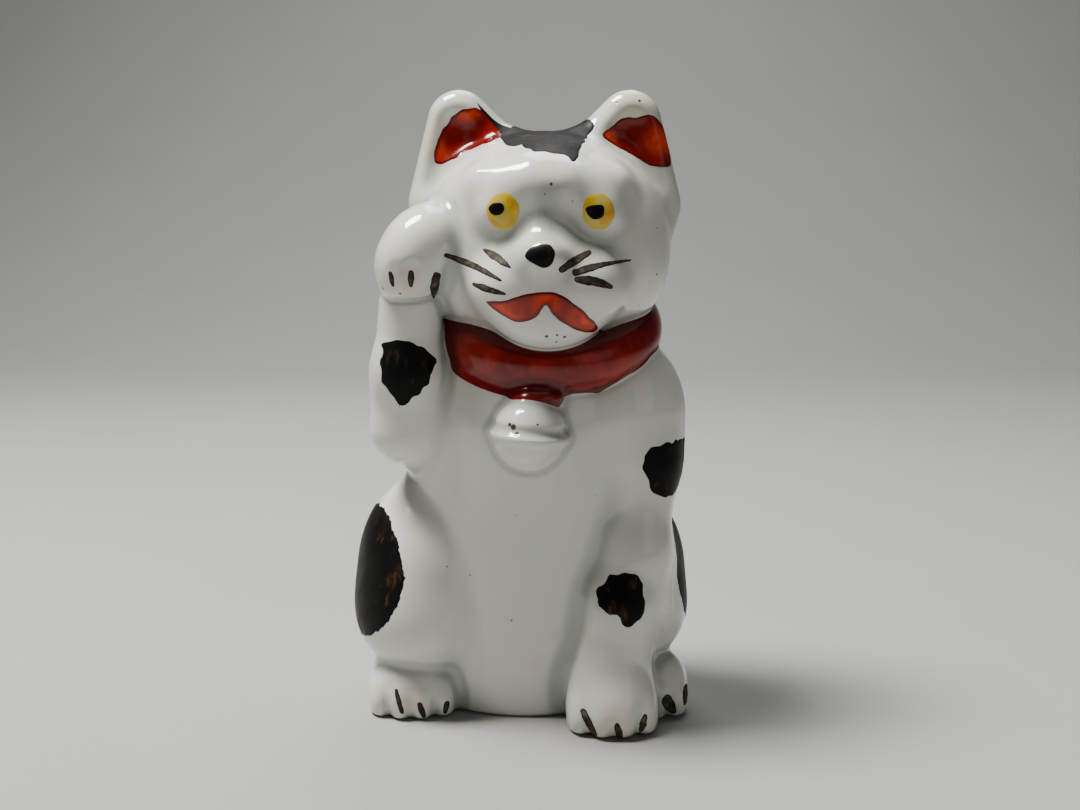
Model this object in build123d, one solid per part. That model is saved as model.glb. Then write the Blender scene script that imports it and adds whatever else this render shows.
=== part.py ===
"""Beckoning cat figurine: a hollow glazed porcelain cat, sitting up, with its right foreleg raised.

Millimetres. +Z is up, the cat faces -Y, and its left side is at +X. The origin is on the foot face,
on the torso's centreline. The clay pieces are the ones that a maker presses and lutes together with
slip, and the enamel pieces are the coloured glass layers that are fired onto the glaze.
"""

from build123d import *
from math import asin, cos, pi, sin, sqrt
import os

# Driving dimensions -------------------------------------------------------------------------------
wall = 2.8  # clay wall of the hollow torso and head
floor_thickness = 2.8  # slab that closes the underside
vent_radius = 2.2  # hole that lets the steam out of the kiln-fired hollow
enamel = 0.2  # thickness of a fired enamel coat
seam_y = 4.0  # plane where the front and back mould halves meet

# Torso: one oval per height, as (z, half width, front y, back y)
torso_ovals = [
    (0.0, 17.5, -8.2, 19.5), (12.0, 19.6, -9.8, 21.6), (25.0, 20.4, -11.2, 21.8), (38.0, 20.2, -13.2, 19.6),
    (48.0, 19.4, -14.4, 16.6), (57.0, 16.4, -12.8, 13.4), (65.5, 13.4, -9.6, 11.0), (71.0, 10.8, -8.0, 9.4),
]

# Head
head_centre = (2.8, -0.4, 77.4)
head_radii = (20.0, 16.4, 15.4)
snout_centre = (2.8, -11.4, 69.4)
snout_radii = (12.2, 8.8, 8.8)

# Ears: a tapering lobe, flattened front to back, with a dish for the lining
ear_spread = 13.0  # each ear's tip from the head's middle
ear_root_radius = 9.4
ear_tip_radius = 5.8
ear_root_inset = 1.2  # the root is this much nearer the middle than the tip
ear_root_z = 84.0
ear_tip_z = 93.6
ear_flatness = 0.5
ear_y = 0.5
dish_radii = (5.8, 3.4, 5.0)
dish_y = -4.4
dish_z = 92.0
dish_inset = 0.2

# Collar, its lug and the bell
collar_centre = (2.6, 0.4, 62.2)
collar_major = 14.6
collar_minor = 4.5
collar_depth_share = 0.94
collar_tilt = 25.0
lug_radii = (3.6, 2.6, 2.4)
bell_radius = 5.9
bell_centre = (0.5, collar_centre[1] - collar_major, 46.8)
bell_band_height = 2.2
bell_band_proud = 0.25

# Forelegs, as (point, radius) from the top down
raised_leg = [((-17.4, -8.4, 66.0), 4.9), ((-18.4, -5.4, 46.4), 6.5)]
raised_paw_centre = (-17.3, -8.8, 73.2)
raised_paw_radii = (5.8, 7.0, 7.9)
shoulder_centre = (14.8, -1.4, 48.6)
shoulder_radii = (10.9, 10.2, 13.4)
standing_leg = [((17.0, -4.2, 44.0), 7.6), ((15.4, -7.4, 25.0), 6.4), ((13.0, -9.6, 9.0), 6.2)]
standing_paw_centre = (13.3, -10.4, 3.9)
standing_paw_radii = (7.1, 8.2, 5.6)

# Hindquarters
haunch_centre = (16.4, 2.6, 22.2)
haunch_radii = (11.2, 14.4, 15.8)
hind_paw_centre = (18.4, -3.2, 4.3)
hind_paw_radii = (7.2, 7.6, 5.9)
tail = [
    ((2.0, 19.8, 6.0), 4.0),
    ((7.6, 21.6, 10.4), 3.7),
    ((10.0, 21.4, 17.6), 3.4),
    ((7.4, 20.8, 24.0), 3.0),
]

# Toes: four lobes across the front of each paw on the ground
toe_radii = (2.0, 4.4, 3.1)
toe_count = 4
toe_spacing = 3.2
toe_z = 2.5
toe_proud = 0.7  # how far the toes stand out of the paw's pad

reach = 60.0  # how far a stencil or a cutting block runs, past every face of the figurine

# Painted outlines, as points round a closed curve. Face and foreleg marks are (x, z) seen from the
# front, thigh marks are (y, z) seen from the side, and the back's marks are (x, z).
iris_places = {"right": (-3.2, 79.8), "left": (10.6, 79.8)}
iris_radius = 2.6
pupil_radius = 1.25
pupil_shift = -0.7
nose_outline = [(0.3, 73.8), (1.4, 75.0), (3.6, 75.1), (4.5, 73.6), (2.8, 71.7)]
crown_outline = [
    (-1.6, 93.4), (-1.8, 91.6), (0.4, 89.5), (3.4, 88.7), (6.2, 88.4), (7.2, 87.6),
    (8.6, 90.0), (9.8, 93.4), (4.0, 94.6),
]
lining_outline = [(-4.6, -2.4), (-4.0, 1.2), (-0.8, 3.8), (2.4, 3.6), (4.8, 0.4), (4.4, -3.0), (0.2, -3.4)]
raised_leg_outline = [
    (-21.6, 59.6), (-18.0, 60.6), (-15.6, 59.4), (-13.9, 57.4), (-14.3, 54.4), (-16.4, 52.0),
    (-18.5, 50.5), (-20.8, 52.4), (-21.9, 55.6),
]
shoulder_outline = [
    (17.9, 41.0), (19.4, 43.9), (22.0, 44.6), (25.6, 43.8), (25.4, 38.4), (22.6, 36.2), (19.6, 37.4),
]
foreleg_outline = [
    (11.0, 21.8), (13.2, 24.0), (15.6, 24.9), (17.8, 23.6), (18.2, 20.2), (17.2, 17.4), (15.4, 17.0),
    (13.6, 19.0), (11.8, 19.6),
]
right_thigh_outline = [
    (-6.8, 30.6), (0.0, 34.0), (8.0, 31.6), (11.4, 23.0), (8.6, 14.0), (2.0, 11.0), (-5.0, 15.4), (-8.6, 23.6),
]
left_thigh_outline = [(0.4, 28.0), (5.4, 30.4), (10.4, 27.4), (11.8, 20.4), (8.0, 15.0), (3.0, 15.6), (0.2, 21.0)]
back_outline = [(-13.4, 44.0), (-9.0, 50.6), (-1.8, 51.4), (3.6, 45.0), (1.6, 37.0), (-5.0, 33.4), (-11.6, 36.6)]
tail_outline = [(4.4, 17.4), (6.0, 24.6), (10.0, 26.0), (14.4, 22.4), (12.6, 15.6), (8.6, 16.8)]

# Brush strokes seen from the front, as (x, z, length, width, lean in degrees)
mouth_strokes = [(-1.3, 66.3, 9.8, 3.6, 10.0), (6.0, 65.9, 10.4, 2.8, -32.0)]
whisker_strokes = {
    "right": [(-7.6, 71.8, 9.0, 1.0, -23.0), (-4.1, 73.1, 4.9, 1.1, -32.0), (-5.3, 68.7, 4.8, 1.0, -14.0)],
    "left": [(7.2, 72.8, 4.6, 1.3, 32.0), (11.4, 71.9, 8.4, 1.0, 12.0), (10.0, 69.6, 4.8, 1.3, -12.0)],
}
claw_strokes = {
    "raised_paw": [
        (-19.8, 69.9, 2.4, 0.9, -82.0), (-16.9, 69.9, 2.2, 1.0, 88.0), (-13.7, 69.0, 3.6, 1.2, 74.0),
    ],
    "standing_paw": [(9.6, 2.4, 4.0, 1.3, -62.0), (14.0, 1.9, 2.6, 1.2, -76.0), (18.0, 2.4, 2.8, 1.2, 80.0)],
    "right_hind_paw": [
        (-20.2, 3.2, 3.6, 0.9, -74.0), (-16.6, 2.0, 2.2, 1.0, -76.0), (-13.0, 1.9, 1.9, 0.9, 88.0),
    ],
    "left_hind_paw": [(22.6, 2.4, 2.4, 1.8, -80.0), (25.4, 3.2, 2.4, 1.0, 84.0)],
}


# Building blocks ----------------------------------------------------------------------------------
def ellipsoid(centre, radii, grow=0.0):
    """A sphere stretched to three radii, each made larger by grow."""
    size = max(radii)
    stretch = tuple((r + grow) / size for r in radii)
    return Pos(*centre) * scale(Sphere(size), by=stretch)


def round_cone(start, start_radius, end, end_radius):
    """Two balls and the cone that is tangent to both, as one solid of revolution."""
    start, end = Vector(*start), Vector(*end)
    length = (end - start).length
    lean = asin((start_radius - end_radius) / length)
    near = (start_radius * cos(lean), start_radius * sin(lean))
    far = (end_radius * cos(lean), length + end_radius * sin(lean))
    near_mid = (start_radius * cos(lean / 2 - pi / 4), start_radius * sin(lean / 2 - pi / 4))
    far_mid = (end_radius * cos(lean / 2 + pi / 4), length + end_radius * sin(lean / 2 + pi / 4))
    outline = Wire(
        [
            ThreePointArc((0, -start_radius), near_mid, near),
            Line(near, far),
            ThreePointArc(far, far_mid, (0, length + end_radius)),
            Line((0, length + end_radius), (0, -start_radius)),
        ]
    )
    profile = Plane.XZ * make_face(outline)
    solid = revolve(profile, Axis.Z, 360)
    return Plane(origin=start, z_dir=end - start) * solid


def limb(joints, grow=0.0):
    """A chain of round cones through (point, radius) joints."""
    made = None
    for (a, ra), (b, rb) in zip(joints, joints[1:]):
        link = round_cone(a, ra + grow, b, rb + grow)
        made = link if made is None else made + link
    return made


def torso_solid(grow=0.0):
    """The torso as a loft through its ovals, each made larger by grow."""
    ovals = []
    for z, half_width, front, back in torso_ovals:
        middle, half_depth = (front + back) / 2, (back - front) / 2
        ovals.append(Pos(0, middle, z) * Ellipse(half_width + grow, half_depth + grow))
    return loft(ovals)


def paw(centre, radii, grow=0.0):
    """A paw on the ground: a rounded pad with a row of toe lobes across its front."""
    pad = ellipsoid(centre, radii, grow)
    for toe in range(toe_count):
        across = (toe - (toe_count - 1) / 2) * toe_spacing
        front = centre[1] - radii[1] * sqrt(1 - (across / radii[0]) ** 2)
        pad += ellipsoid((centre[0] + across, front + toe_radii[1] - toe_proud, toe_z), toe_radii, grow)
    return pad


def above_ground(solid):
    """What stands above the plane that the figurine rests on."""
    return solid - Pos(0, 0, -reach / 2) * Box(4 * reach, 4 * reach, reach)


def ear_lobe(side, grow=0.0):
    """One ear: a tapering lobe, flattened front to back, before it is dished."""
    tip_x = head_centre[0] + side * ear_spread
    root_x = tip_x - side * ear_root_inset
    root, tip = (root_x, 0, ear_root_z), (tip_x, 0, ear_tip_z)
    tall = round_cone(root, ear_root_radius + grow, tip, ear_tip_radius + grow)
    return Pos(0, ear_y, 0) * scale(tall, by=(1, ear_flatness, 1))


def ear_dish(side, grow=0.0):
    """The hollow in the front of one ear, where its lining is painted."""
    x = head_centre[0] + side * (ear_spread - dish_inset)
    return ellipsoid((x, dish_y, dish_z), dish_radii, -grow)


def collar_ring():
    """The collar's ring, lower at the front, before the neck is cut out of it."""
    ring = scale(Torus(collar_major, collar_minor), by=(1, collar_depth_share, 1))
    return Pos(*collar_centre) * Rot(collar_tilt, 0, 0) * ring


def halves(solid):
    """The front and back mould halves of a hollow solid."""
    front = Pos(0, seam_y - reach, 0) * Box(4 * reach, 2 * reach, 4 * reach)
    return solid & front, solid - front


def facing(y):
    """An upright plane at depth y that looks out of the cat's front."""
    return Plane.XZ.offset(-y)


def stencil(points, plane, towards=1):
    """A block with a smooth closed outline, running from the plane out through the painted face."""
    return extrude(plane * make_face(Spline(*points, periodic=True)), amount=towards * reach)


def stroke(place, plane):
    """A block with the outline of one brush stroke, running from the plane out through the front."""
    x, z, length, width, lean = place
    return extrude(plane * (Pos(x, z) * Rot(0, 0, lean) * Ellipse(length / 2, width / 2)), amount=reach)


def without(solid, others):
    for other in others:
        solid = solid - other
    return solid


def coat(grown, plain, outline, neighbours=()):
    """The enamel layer inside an outline, from the plain solid's face up to the grown copy of it."""
    return without((grown - plain) & outline, neighbours)


def head_solid(grow=0.0):
    return ellipsoid(head_centre, head_radii, grow) + ellipsoid(snout_centre, snout_radii, grow)


def raised_solid(grow=0.0):
    return limb(raised_leg, grow) + ellipsoid(raised_paw_centre, raised_paw_radii, grow)


def standing_upper(grow=0.0):
    return limb(standing_leg, grow) + ellipsoid(shoulder_centre, shoulder_radii, grow)


def standing_solid(grow=0.0):
    return standing_upper(grow) + paw(standing_paw_centre, standing_paw_radii, grow)


def clay_pieces():
    """Every pressed piece, and the whole torso, head and collar ring that the others are cut by."""
    torso, hollow = torso_solid(), torso_solid(-wall)
    under = Pos(0, 0, floor_thickness / 2) * Box(4 * reach, 4 * reach, floor_thickness)
    vent = Cylinder(vent_radius, 4 * floor_thickness)
    base = (hollow & under) - Pos(0, sum(torso_ovals[0][2:]) / 2, 0) * vent
    torso_front, torso_back = halves(torso - hollow)

    head, ring = head_solid(), collar_ring()
    head_front, head_back = halves(head - ellipsoid(head_centre, head_radii, -wall) - torso)
    ears = [ear_lobe(side) - ear_dish(side) - head for side in (-1, 1)]
    lug_place = (bell_centre[0] + 1.2, bell_centre[1] - 0.8, bell_centre[2] + bell_radius)
    lug = without(ellipsoid(lug_place, lug_radii), [torso, head, ring])
    bell = Pos(*bell_centre) * (Sphere(bell_radius) + Cylinder(bell_radius + bell_band_proud, bell_band_height))
    haunch = ellipsoid(haunch_centre, haunch_radii) - torso
    hind_paw = without(above_ground(paw(hind_paw_centre, hind_paw_radii)), [torso, haunch])
    standing = without(above_ground(standing_solid()), [torso, haunch, ring])
    right_haunch = mirror(haunch, about=Plane.YZ)

    return {
        "torso_front_shell": torso_front,
        "torso_back_shell": torso_back,
        "base_slab": base,
        "head_front_shell": head_front,
        "head_back_shell": head_back,
        "right_ear": ears[0],
        "left_ear": ears[1],
        "collar_band": ring - head - torso,
        "collar_lug": lug,
        "bell": without(bell, [torso, lug, ring]),
        "raised_foreleg": without(raised_solid(), [torso, head, ring, right_haunch, ears[0]]),
        "standing_foreleg": standing,
        "right_haunch": right_haunch,
        "left_haunch": haunch,
        "right_hind_paw": mirror(hind_paw, about=Plane.YZ),
        "left_hind_paw": hind_paw - standing,
        "tail": above_ground(limb(tail)) - torso,
    }, torso, head, ring


def group(layers):
    """Several separate strokes of one enamel, as one piece."""
    return Compound(children=[solid for layer in layers for solid in layer.solids()])


def face_enamels(head, neighbours):
    """The marks that are painted on the head: eyes, nose, mouth, whiskers and crown."""
    grown = head_solid(enamel)
    thick = head_solid(2 * enamel)
    front = facing(head_centre[1])
    made = {}
    for side, (x, z) in iris_places.items():
        spot = extrude(front * (Pos(x, z) * Circle(iris_radius)), amount=reach)
        dot = extrude(front * (Pos(x + pupil_shift, z) * Circle(pupil_radius)), amount=reach)
        made[f"{side}_iris"] = coat(grown, head, spot)
        made[f"{side}_pupil"] = coat(thick, grown, dot)
    made["nose_enamel"] = coat(grown, head, stencil(nose_outline, front))
    lip_plane = facing(snout_centre[1])
    lips = stroke(mouth_strokes[0], lip_plane) + stroke(mouth_strokes[1], lip_plane)
    made["mouth_enamel"] = coat(grown, head, lips, neighbours)
    for side, strokes in whisker_strokes.items():
        made[f"{side}_whiskers"] = group(
            coat(grown, head, stroke(place, front), neighbours) for place in strokes
        )
    made["crown_patch"] = coat(grown, head, stencil(crown_outline, front), neighbours)
    return made


def enamel_pieces(clay, torso, head, ring):
    """Every painted mark, as a thin layer that lies on the clay."""
    made = face_enamels(head, [clay["right_ear"], clay["left_ear"], clay["collar_band"]])
    for name, side in (("right", -1), ("left", 1)):
        x = head_centre[0] + side * (ear_spread - dish_inset)
        outline = stencil([(x + side * u, dish_z + v) for u, v in lining_outline], Plane.XZ)
        skin = (ear_dish(side) - ear_dish(side, enamel)) & ear_lobe(side)
        made[f"{name}_ear_lining"] = (skin & outline) - head

    near = [torso, ring, clay["left_haunch"], clay["right_haunch"]]
    front = facing(raised_leg[1][0][1])
    leg = coat(limb(raised_leg, enamel), limb(raised_leg), stencil(raised_leg_outline, front), near)
    made["raised_foreleg_patch"] = leg
    for name, outline in (("shoulder_patch", shoulder_outline), ("standing_foreleg_patch", foreleg_outline)):
        front = facing(standing_leg[0][0][1])
        made[name] = coat(standing_upper(enamel), standing_upper(), stencil(outline, front), near)

    near = [torso, clay["standing_foreleg"], clay["raised_foreleg"]]
    for side, outline, towards in (("right", right_thigh_outline, -1), ("left", left_thigh_outline, 1)):
        centre = (towards * haunch_centre[0], haunch_centre[1], haunch_centre[2])
        grown, plain = ellipsoid(centre, haunch_radii, enamel), ellipsoid(centre, haunch_radii)
        made[f"{side}_thigh_patch"] = coat(grown, plain, stencil(outline, Plane.YZ, towards), near)
    made["back_patch"] = coat(torso_solid(enamel), torso, stencil(back_outline, Plane.XZ, -1))
    behind = stencil(tail_outline, Plane.XZ, -1)
    made["tail_patch"] = without(limb(tail, enamel) & behind, [clay["tail"], torso])

    hind_right = (-hind_paw_centre[0], hind_paw_centre[1], hind_paw_centre[2])
    paws = {
        "raised_paw": (ellipsoid, raised_paw_centre, raised_paw_radii),
        "standing_paw": (paw, standing_paw_centre, standing_paw_radii),
        "right_hind_paw": (paw, hind_right, hind_paw_radii),
        "left_hind_paw": (paw, hind_paw_centre, hind_paw_radii),
    }
    for name, (shape, centre, radii) in paws.items():
        grown, plain = above_ground(shape(centre, radii, enamel)), shape(centre, radii)
        near = [clay["raised_foreleg"]] if name == "raised_paw" else []
        front = facing(centre[1])
        made[f"{name}_claws"] = group(coat(grown, plain, stroke(p, front), near) for p in claw_strokes[name])
    return made


def main():
    os.makedirs("parts", exist_ok=True)
    clay, torso, head, ring = clay_pieces()
    for name, solid in {**clay, **enamel_pieces(clay, torso, head, ring)}.items():
        export_step(solid, f"parts/{name}.step")


main()
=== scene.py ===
"""Looks of the beckoning cat figurine: one continuous glazed porcelain skin, cut along the maker's
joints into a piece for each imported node, with the enamel colours laid over it as thin fired coats.
Shapes are worked out in millimetres in the row frame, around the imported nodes, and built in metres."""

import math

import bpy
import numpy as np
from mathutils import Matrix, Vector


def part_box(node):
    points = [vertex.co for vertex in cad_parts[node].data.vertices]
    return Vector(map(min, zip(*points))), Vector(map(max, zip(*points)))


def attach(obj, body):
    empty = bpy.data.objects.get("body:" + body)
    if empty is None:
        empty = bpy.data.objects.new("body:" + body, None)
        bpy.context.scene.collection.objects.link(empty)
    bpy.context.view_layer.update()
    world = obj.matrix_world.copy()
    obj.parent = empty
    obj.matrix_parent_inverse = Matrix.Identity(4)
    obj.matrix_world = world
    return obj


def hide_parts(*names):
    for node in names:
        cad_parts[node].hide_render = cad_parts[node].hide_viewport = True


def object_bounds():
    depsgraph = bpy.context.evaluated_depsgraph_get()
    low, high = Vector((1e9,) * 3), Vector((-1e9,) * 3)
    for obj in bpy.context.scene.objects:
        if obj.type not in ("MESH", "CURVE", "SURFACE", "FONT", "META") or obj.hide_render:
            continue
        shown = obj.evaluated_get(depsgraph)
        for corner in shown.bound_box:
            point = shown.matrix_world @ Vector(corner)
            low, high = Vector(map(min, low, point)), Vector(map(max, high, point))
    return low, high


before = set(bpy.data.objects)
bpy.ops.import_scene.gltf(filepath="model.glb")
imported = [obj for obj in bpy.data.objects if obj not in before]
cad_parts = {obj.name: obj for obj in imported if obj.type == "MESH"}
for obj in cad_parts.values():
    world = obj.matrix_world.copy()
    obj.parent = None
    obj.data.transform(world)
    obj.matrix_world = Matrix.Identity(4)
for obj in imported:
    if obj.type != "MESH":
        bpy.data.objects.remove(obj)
CAD_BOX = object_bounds()
MM = 0.001
VOXEL = 0.42  # grid the skin is first traced on
COAT = 0.07  # how far an enamel coat stands above the glaze
THIN = 0.04  # the same for a single brush stroke
BED = 0.06  # how far a coat's underside lies below the glaze
SINK = 1.0  # how far a piece's hidden cap goes straight in from its rim
FAR = 9.0  # stands for any distance too great to matter


def show(obj):
    bpy.context.scene.collection.objects.link(obj)


def box_of(*nodes):
    """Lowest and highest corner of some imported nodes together, in millimetres."""
    boxes = [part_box(n) for n in nodes]
    low = np.min([list(b[0]) for b in boxes], axis=0)
    high = np.max([list(b[1]) for b in boxes], axis=0)
    return low / MM, high / MM


def place(*nodes):
    """A function that gives the point at an offset from the middle of some nodes' box."""
    low, high = box_of(*nodes)
    middle = (low + high) / 2
    return lambda x, y, z: middle + np.array((x, y, z), float)


torso_at = place("torso_front_shell", "torso_back_shell")
head_at = place("head_front_shell", "head_back_shell")
right_ear_at = place("right_ear")
left_ear_at = place("left_ear")
collar_at = place("collar_band")
lug_at = place("collar_lug")
bell_at = place("bell")
raised_at = place("raised_foreleg")
standing_at = place("standing_foreleg")
right_haunch_at = place("right_haunch")
left_haunch_at = place("left_haunch")
right_paw_at = place("right_hind_paw")
left_paw_at = place("left_hind_paw")
tail_at = place("tail")
FLOOR_Z = box_of("base_slab")[0][2]
SEAM_Y = box_of("torso_back_shell")[0][1]


# ---- distance fields

def turned(p, centre, degrees):
    """Points measured from a centre, in axes turned by (x, y, z) degrees."""
    x, y, z = (math.radians(d) for d in degrees)
    rx = np.array([[1, 0, 0], [0, math.cos(x), -math.sin(x)], [0, math.sin(x), math.cos(x)]])
    ry = np.array([[math.cos(y), 0, math.sin(y)], [0, 1, 0], [-math.sin(y), 0, math.cos(y)]])
    rz = np.array([[math.cos(z), -math.sin(z), 0], [math.sin(z), math.cos(z), 0], [0, 0, 1]])
    return (p - centre) @ (rz @ ry @ rx)


def ellipsoid(p, centre, radii, degrees=(0, 0, 0)):
    q = turned(p, centre, degrees) if any(degrees) else p - centre
    radii = np.array(radii, float)
    k0 = np.linalg.norm(q / radii, axis=1)
    k1 = np.linalg.norm(q / radii ** 2, axis=1)
    return k0 * (k0 - 1) / np.maximum(k1, 1e-6)


def cone(p, a, b, ra, rb):
    """Two balls joined by the cone tangent to both."""
    ba = b - a
    l2 = ba @ ba
    rr = ra - rb
    a2 = l2 - rr * rr
    pa = p - a
    y = pa @ ba
    z = y - l2
    x2 = np.sum((pa * l2 - np.outer(y, ba)) ** 2, axis=1)
    y2, z2 = y * y * l2, z * z * l2
    k = np.sign(rr) * rr * rr * x2
    d = (np.sqrt(x2 * a2 / l2) + y * rr) / l2 - ra
    d = np.where(np.sign(y) * a2 * y2 < k, np.sqrt(x2 + y2) / l2 - ra, d)
    return np.where(np.sign(z) * a2 * z2 > k, np.sqrt(x2 + z2) / l2 - rb, d)


def chain(p, joints, blend=1.5):
    d = None
    for (a, ra), (b, rb) in zip(joints, joints[1:]):
        link = cone(p, a, b, ra, rb)
        d = link if d is None else smin(d, link, blend)
    return d


def smin(a, b, k):
    """The smaller of two distances, rounded over where they are nearly equal."""
    h = np.maximum(k - np.abs(a - b), 0) / k
    return np.minimum(a, b) - h * h * k / 4


def smax(a, b, k):
    return -smin(-a, -b, k)


def triangle(p, a, b, c):
    """Distance to a flat triangle."""
    best = np.full(len(p), np.inf)
    normal = np.cross(b - a, c - a)
    inside = np.ones(len(p), bool)
    for s, e in ((a, b), (b, c), (c, a)):
        edge = e - s
        t = np.clip(((p - s) @ edge) / (edge @ edge), 0, 1)
        best = np.minimum(best, np.linalg.norm(p - s - np.outer(t, edge), axis=1))
        inside &= (p - s) @ np.cross(normal, edge) >= 0
    flat = np.abs((p - a) @ normal) / np.linalg.norm(normal)
    return np.where(inside, flat, best)


def curve(points, closed=True, steps=12):
    """A smooth line through points."""
    pts = np.array(points, float)
    n = len(pts)
    out = []
    for i in range(n if closed else n - 1):
        around_i = [(i + j) % n if closed else min(max(i + j, 0), n - 1) for j in (-1, 0, 1, 2)]
        p0, p1, p2, p3 = pts[around_i]
        for t in np.arange(steps) / steps:
            out.append(0.5 * (2 * p1 + (p2 - p0) * t + (2 * p0 - 5 * p1 + 4 * p2 - p3) * t ** 2
                              + (3 * p1 - p0 - 3 * p2 + p3) * t ** 3))
    if not closed:
        out.append(pts[-1])
    return np.array(out)


def outline(q, points):
    """Signed distance in a plane to a smooth closed outline, negative inside."""
    pts = curve(points)
    best = np.full(len(q), np.inf)
    inside = np.zeros(len(q), bool)
    for s, e in zip(pts, np.roll(pts, -1, axis=0)):
        edge = e - s
        t = np.clip(((q - s) @ edge) / (edge @ edge), 0, 1)
        best = np.minimum(best, np.sum((q - s - np.outer(t, edge)) ** 2, axis=1))
        crosses = (s[1] > q[:, 1]) != (e[1] > q[:, 1])
        with np.errstate(divide="ignore", invalid="ignore"):
            at = s[0] + (q[:, 1] - s[1]) * edge[0] / edge[1]
        inside ^= crosses & (q[:, 0] < at)
    return np.where(inside, -1, 1) * np.sqrt(best)


def stroke(q, points, widths):
    """Distance to a brush stroke: a smooth line whose half width changes along it."""
    pts = curve(points, closed=False)
    half = np.interp(np.linspace(0, 1, len(pts)), np.linspace(0, 1, len(widths)), widths)
    best = np.full(len(q), np.inf)
    for s, e, hs, he in zip(pts, pts[1:], half, half[1:]):
        edge = e - s
        t = np.clip(((q - s) @ edge) / (edge @ edge), 0, 1)
        d = np.linalg.norm(q - s - np.outer(t, edge), axis=1) - (hs + (he - hs) * t)
        best = np.minimum(best, d)
    return best


def ripple(p, scale, seed):
    """Smooth wandering values between about -1 and 1, the same on every run."""
    rng = np.random.default_rng(seed)
    total = np.zeros(len(p))
    for _ in range(7):
        direction = rng.normal(size=p.shape[1])
        direction *= (0.6 + 0.9 * rng.random()) / (np.linalg.norm(direction) * scale)
        total += np.sin(2 * math.pi * (p @ direction) + rng.random() * 2 * math.pi)
    return total / 3.2


# ---- the cat's clay

# One oval per height, as (z, half width, front y, back y)
OVALS = np.array([
    (0.0, 17.3, -8.6, 19.3), (4.0, 18.4, -9.2, 20.6), (12.0, 19.5, -10.2, 21.5), (25.0, 20.2, -11.6, 21.6),
    (38.0, 19.6, -13.4, 19.4), (48.0, 18.4, -14.2, 16.4), (57.0, 15.6, -12.4, 13.2), (65.5, 12.4, -9.2, 10.8),
    (71.0, 10.6, -7.8, 9.2),
])
OVAL_LINE = curve(OVALS, closed=False)


def torso(p):
    middle = torso_at(0, 0, 0)
    x = p[:, 0] - middle[0]
    z = p[:, 2] - FLOOR_Z
    half = np.interp(z, OVAL_LINE[:, 0], OVAL_LINE[:, 1])
    front = np.interp(z, OVAL_LINE[:, 0], OVAL_LINE[:, 2])
    back = np.interp(z, OVAL_LINE[:, 0], OVAL_LINE[:, 3])
    deep = (back - front) / 2
    y = p[:, 1] - (front + back) / 2
    k0 = np.hypot(x / half, y / deep)
    k1 = np.hypot(x / half ** 2, y / deep ** 2)
    sides = k0 * (k0 - 1) / np.maximum(k1, 1e-6)
    return smax(sides, z - 70, 3)


def head(p):
    """Skull, cheeks, muzzle, chin, nose bridge, nose, eye sockets, eyeballs and brows."""
    d = ellipsoid(p, head_at(0, 1.7, 0.9), (19.4, 16.0, 15.1))
    for side in (-1, 1):
        d = smin(d, ellipsoid(p, head_at(side * 10.2, -1.0, -6.0), (8.2, 9.6, 8.4)), 6)
    d = smin(d, ellipsoid(p, head_at(0.6, -9.8, -8.6), (10.2, 7.8, 7.6)), 5)
    for side in (-1, 1):
        d = smin(d, ellipsoid(p, head_at(0.4 + side * 5.0, -12.4, -8.0), (5.6, 5.2, 4.8)), 3)
    d = smin(d, ellipsoid(p, head_at(0.4, -11.4, -12.6), (6.4, 5.6, 4.4)), 3)
    d = smin(d, cone(p, head_at(0.1, -9.0, 6.4), head_at(-0.3, -14.7, -1.6), 4.6, 3.7), 5)
    d = smin(d, ellipsoid(p, head_at(-0.3, -16.4, -3.0), (3.2, 2.6, 2.5)), 2.5)
    for x, y in ((-5.8, -17.4), (6.6, -17.2)):
        d = smax(d, -ellipsoid(p, head_at(x, y, 3.0), (5.4, 3.4, 3.6)), 5)
    for x, y in ((-6.3, -11.6), (7.7, -11.5)):
        d = smin(d, ellipsoid(p, head_at(x, y, 3.1), (3.4, 2.6, 3.2)), 2.4)
    for side in (-1, 1):
        brow = cone(p, head_at(0.5 + side * 3.2, -11.4, 7.0), head_at(0.5 + side * 9.6, -8.7, 7.4), 1.8, 1.5)
        d = smin(d, brow, 4.5)
    return d


def ear(p, at, side):
    """A rounded three-cornered lobe with a dished front. side is 1 on the cat's left."""
    squash = np.array([1, 1.55, 1])
    corners = [at(side * 3.2, 0, -7.6), at(side * 0.0, 0.3, 4.9), at(-side * 4.4, 0.4, 0.6)]
    centre = at(0, 0, 0)
    q = (p - centre) * squash + centre
    lobe = (triangle(q, *corners) - 5.0) / 1.35
    inner = [at(side * 2.2, -6.0, -4.4), at(side * 0.6, -6.0, 3.6), at(-side * 2.6, -6.0, 0.4)]
    dish = triangle(p, *inner) - 4.3
    return smax(lobe, -dish, 1.6)


RING_TILT = 25.0  # the collar's front hangs lower than its back by this many degrees
RING_RADIUS = 14.5
RING_SQUASH = 0.94  # its depth as a share of its width
ROLL = (3.7, 4.2)  # half thickness and half height of its roll
BAND = 6  # the widest that the red band can lie off the ring


def ring_axes(p):
    """Outward distance, height and bearing in the collar's own tilted axes."""
    q = turned(p, collar_at(0.9, 0.0, 0.2), (RING_TILT, 0, 0))
    return np.hypot(q[:, 0], q[:, 1] / RING_SQUASH) - RING_RADIUS, q[:, 2], np.arctan2(q[:, 0], -q[:, 1])


def collar(p):
    out, up, _ = ring_axes(p)
    thick, high = ROLL
    k0 = np.hypot(out / thick, up / high)
    k1 = np.hypot(out / thick ** 2, up / high ** 2)
    return k0 * (k0 - 1) / np.maximum(k1, 1e-6)


def lug(p):
    return ellipsoid(p, lug_at(0.0, 1.5, -0.4), (3.7, 2.3, 1.7))


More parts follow.
